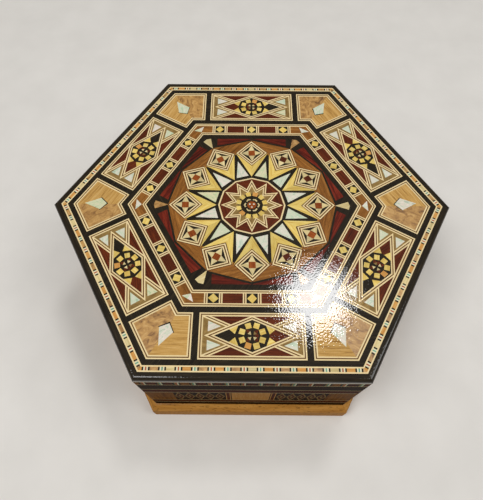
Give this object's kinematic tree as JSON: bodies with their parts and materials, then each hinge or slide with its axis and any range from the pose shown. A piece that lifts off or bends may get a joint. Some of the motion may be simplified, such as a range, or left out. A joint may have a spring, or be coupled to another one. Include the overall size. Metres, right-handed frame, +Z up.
{
  "type": "hexagonal marquetry box",
  "caption": "Hexagonal lidded box of wood with geometric marquetry and shell inlay, hollow and empty, on a moulded plinth; the flat lid lifts off.",
  "frame": {"origin": "centre of the underside, in the plane the plinth stands on", "axes": "+Z up through the lid; +X towards a corner of the hexagon; -Y is the front side"},
  "size_m": [0.2608, 0.226, 0.095],
  "materials": {
    "honey_wood": "varnished beech, honey brown, rounded and shiny at the edge",
    "walnut": "walnut under clear lacquer",
    "plain_board": "plain planed board, oiled, no gloss",
    "ebony": "near-black ebony under gloss lacquer",
    "lemonwood": "yellow lemonwood tiles under gloss lacquer",
    "red_wood": "dark red rosewood under gloss lacquer",
    "burl_wood": "pale olive burl under gloss lacquer",
    "maple_string": "cream maple stringing under gloss lacquer",
    "mother_of_pearl": "polished mother-of-pearl with a green and pink sheen"
  },
  "bodies": {
    "root": {"plinth_strip_1": "honey_wood", "plinth_strip_2": "honey_wood", "plinth_strip_3": "honey_wood", "plinth_strip_4": "honey_wood", "plinth_strip_5": "honey_wood", "plinth_strip_6": "honey_wood", "wall_1": "walnut", "wall_2": "walnut", "wall_3": "walnut", "wall_4": "walnut", "wall_5": "walnut", "wall_6": "walnut", "floor_board": "plain_board", "lid_rim_1": "walnut", "lid_rim_2": "walnut", "lid_rim_3": "walnut", "lid_rim_4": "walnut", "lid_rim_5": "walnut", "lid_rim_6": "walnut", "lid_edging_1": "ebony", "lid_edging_2": "ebony", "lid_edging_3": "ebony", "lid_edging_4": "ebony", "lid_edging_5": "ebony", "lid_edging_6": "ebony", "lid_board": "plain_board", "border_band_1": "lemonwood", "border_band_2": "lemonwood", "border_band_3": "lemonwood", "border_band_4": "lemonwood", "border_band_5": "lemonwood", "border_band_6": "lemonwood", "ebony_ground": "ebony", "rosette_panel_1": "red_wood", "rosette_panel_2": "red_wood", "rosette_panel_3": "red_wood", "rosette_panel_4": "red_wood", "rosette_panel_5": "red_wood", "rosette_panel_6": "red_wood", "corner_panel_1": "burl_wood", "corner_panel_2": "burl_wood", "corner_panel_3": "burl_wood", "corner_panel_4": "burl_wood", "corner_panel_5": "burl_wood", "corner_panel_6": "burl_wood", "inner_band_1": "red_wood", "inner_band_2": "red_wood", "inner_band_3": "red_wood", "inner_band_4": "red_wood", "inner_band_5": "red_wood", "inner_band_6": "red_wood", "star_field": "lemonwood"}
  },
  "joints": []
}
